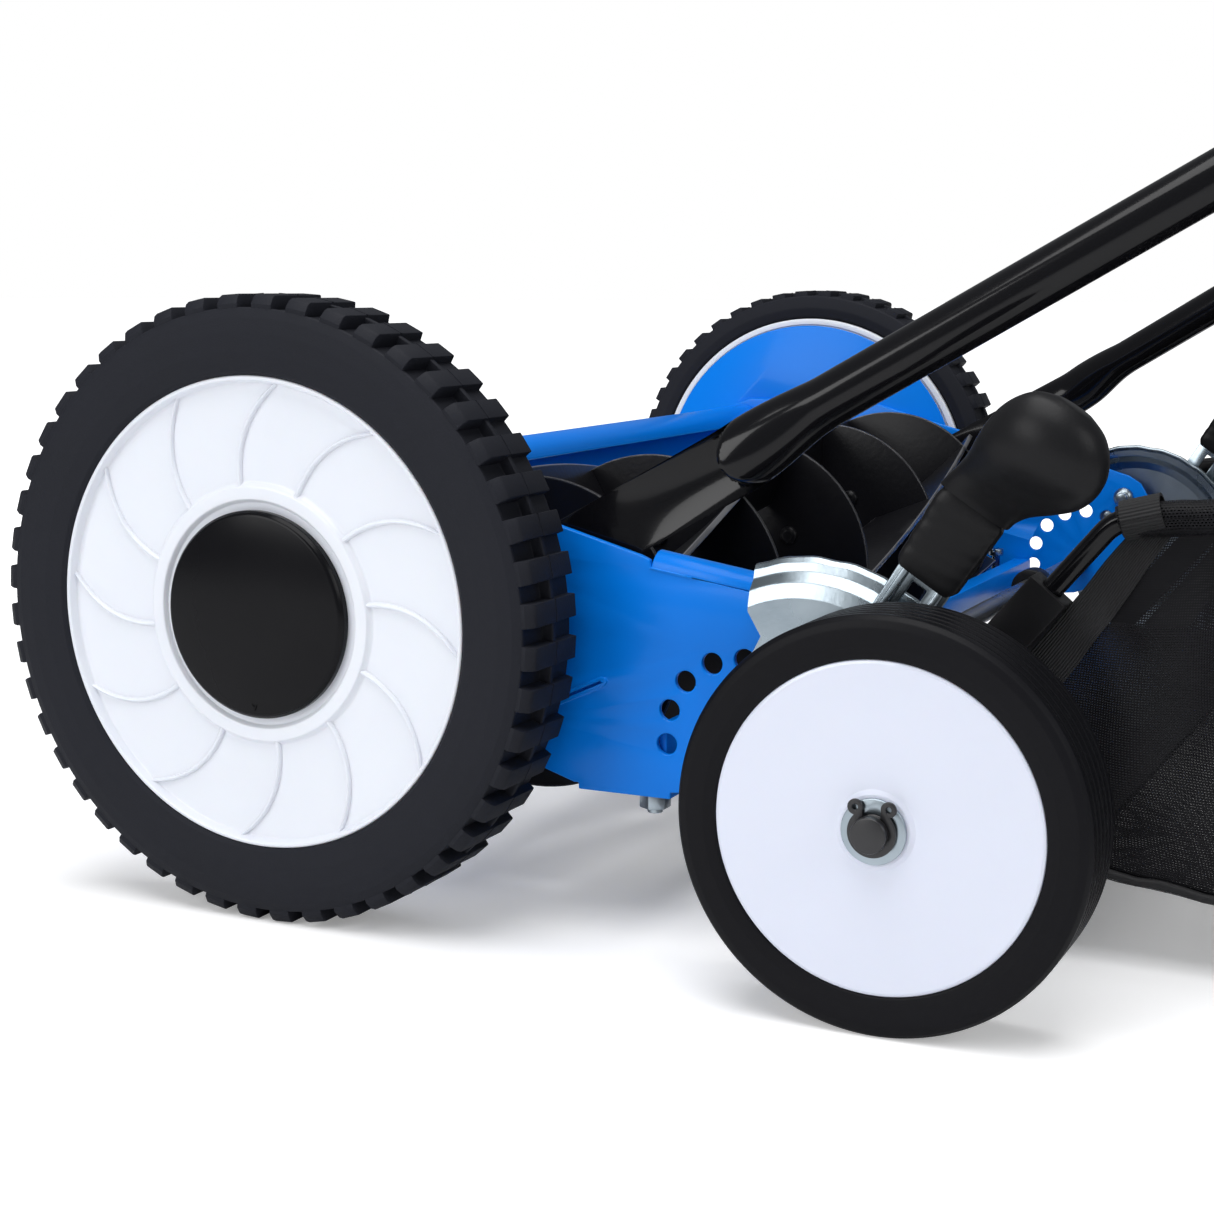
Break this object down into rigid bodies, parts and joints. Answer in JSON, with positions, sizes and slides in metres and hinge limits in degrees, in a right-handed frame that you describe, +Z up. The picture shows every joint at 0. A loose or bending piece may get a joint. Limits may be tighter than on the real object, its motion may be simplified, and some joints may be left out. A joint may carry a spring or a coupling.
{
  "type": "reel mower",
  "caption": "Push reel mower: toothed front drive wheels, blue side plates, helical cutting reel, lever-set rear wheels, folding tube handle and mesh grass catcher.",
  "frame": {"origin": "on the ground at mid-width, straight below the front axle", "axes": "+X to the mower's left as it is pushed, +Y from the front wheels towards the handle, +Z up"},
  "size_m": [0.684, 1.1213, 0.7865],
  "materials": {
    "blue_paint": "glossy",
    "black_paint": "glossy",
    "zinc": "satin",
    "steel": "satin",
    "black_steel": "satin",
    "white_plastic": "glossy",
    "tyre": "matte",
    "gloss_black_plastic": "glossy",
    "satin_black_plastic": "satin",
    "foam": "matte",
    "mesh_fabric": "matte"
  },
  "bodies": {
    "frame": {"side_plate_left": "blue_paint", "side_plate_right": "blue_paint", "gear_cover_left": "blue_paint", "gear_cover_right": "blue_paint", "front_tie_bar": "blue_paint", "tie_bar_bolts": "zinc", "bed_bar": "blue_paint", "bed_knife": "steel", "knife_screws": "zinc", "bed_bolts": "zinc", "bed_adjusters": "zinc", "cross_rod": "steel", "rod_nuts": "zinc", "bearing_housings": "black_paint", "bearing_outer_rings": "steel", "bearing_balls": "steel", "front_axles": "steel", "axle_clips": "steel", "guide_bolts": "zinc", "handle_pivots": "zinc"},
    "reel": {"reel_shaft": "steel", "reel_blades": "black_paint", "reel_discs": "black_paint", "disc_rivets": "steel", "drive_pinions": "steel", "drive_pawls": "steel"},
    "handle": {"handle_leg_left": "black_paint", "handle_leg_right": "black_paint", "upper_handle": "black_paint", "foam_grip": "foam", "handle_brace": "black_paint", "handle_knobs": "gloss_black_plastic"},
    "catcher": {"catcher_frame": "black_paint", "catcher_tray": "satin_black_plastic", "catcher_bag": "mesh_fabric"},
    "front_wheel_left": {"front_hub_left": "white_plastic", "front_tyre_left": "tyre", "hub_cap_left": "gloss_black_plastic"},
    "adjuster_left": {"adjuster_dish_left": "zinc", "adjuster_lever_left": "zinc", "adjuster_knob_left": "satin_black_plastic", "rear_axle_left": "black_steel", "axle_washer_left": "zinc", "axle_circlip_left": "black_steel"},
    "pin_left": {"detent_pin_left": "zinc"},
    "rear_wheel_left": {"rear_hub_left": "white_plastic", "rear_tyre_left": "tyre"},
    "front_wheel_right": {"front_hub_right": "white_plastic", "front_tyre_right": "tyre", "hub_cap_right": "gloss_black_plastic"},
    "adjuster_right": {"adjuster_dish_right": "zinc", "adjuster_lever_right": "zinc", "adjuster_knob_right": "satin_black_plastic", "rear_axle_right": "black_steel", "axle_washer_right": "zinc", "axle_circlip_right": "black_steel"},
    "pin_right": {"detent_pin_right": "zinc"},
    "rear_wheel_right": {"rear_hub_right": "white_plastic", "rear_tyre_right": "tyre"}
  },
  "joints": [
    {"name": "reel_spin", "type": "hinge", "parent": "frame", "child": "reel", "pos_m": [0, 0.07246, 0.10496], "axis": [1, 0, 0], "continuous": true},
    {"name": "front_wheel_left_spin", "type": "hinge", "parent": "frame", "child": "front_wheel_left", "pos_m": [0.3, 0, 0.12], "axis": [1, 0, 0], "continuous": true},
    {"name": "front_wheel_right_spin", "type": "hinge", "parent": "frame", "child": "front_wheel_right", "pos_m": [-0.3, 0, 0.12], "axis": [1, 0, 0], "continuous": true},
    {"name": "height_adjust_left", "type": "hinge", "parent": "frame", "child": "adjuster_left", "pos_m": [0.285, 0.18005, 0.08006], "axis": [1, 0, 0], "range_deg": [0, 75]},
    {"name": "detent_pin_left_slide", "type": "slide", "parent": "adjuster_left", "child": "pin_left", "axis": [-1, 0, 0], "range_m": [0, 0.006]},
    {"name": "rear_wheel_left_spin", "type": "hinge", "parent": "adjuster_left", "child": "rear_wheel_left", "pos_m": [0.317, 0.25145, 0.07], "axis": [1, 0, 0], "continuous": true},
    {"name": "height_adjust_right", "type": "hinge", "parent": "frame", "child": "adjuster_right", "pos_m": [-0.285, 0.18005, 0.08006], "axis": [1, 0, 0], "range_deg": [0, 75]},
    {"name": "detent_pin_right_slide", "type": "slide", "parent": "adjuster_right", "child": "pin_right", "axis": [1, 0, 0], "range_m": [0, 0.006]},
    {"name": "rear_wheel_right_spin", "type": "hinge", "parent": "adjuster_right", "child": "rear_wheel_right", "pos_m": [-0.317, 0.25145, 0.07], "axis": [1, 0, 0], "continuous": true},
    {"name": "handle_fold", "type": "hinge", "parent": "frame", "child": "handle", "pos_m": [0, 0.09796, 0.1384], "axis": [1, 0, 0], "range_deg": [0, 70]},
    {"name": "catcher_tilt", "type": "hinge", "parent": "frame", "child": "catcher", "pos_m": [0, 0.18005, 0.08006], "axis": [1, 0, 0], "range_deg": [0, 15]}
  ],
  "couplings": [
    {"joint": "front_wheel_left_spin", "follows": "reel_spin", "ratio": 0.13953},
    {"joint": "front_wheel_right_spin", "follows": "reel_spin", "ratio": 0.13953}
  ]
}
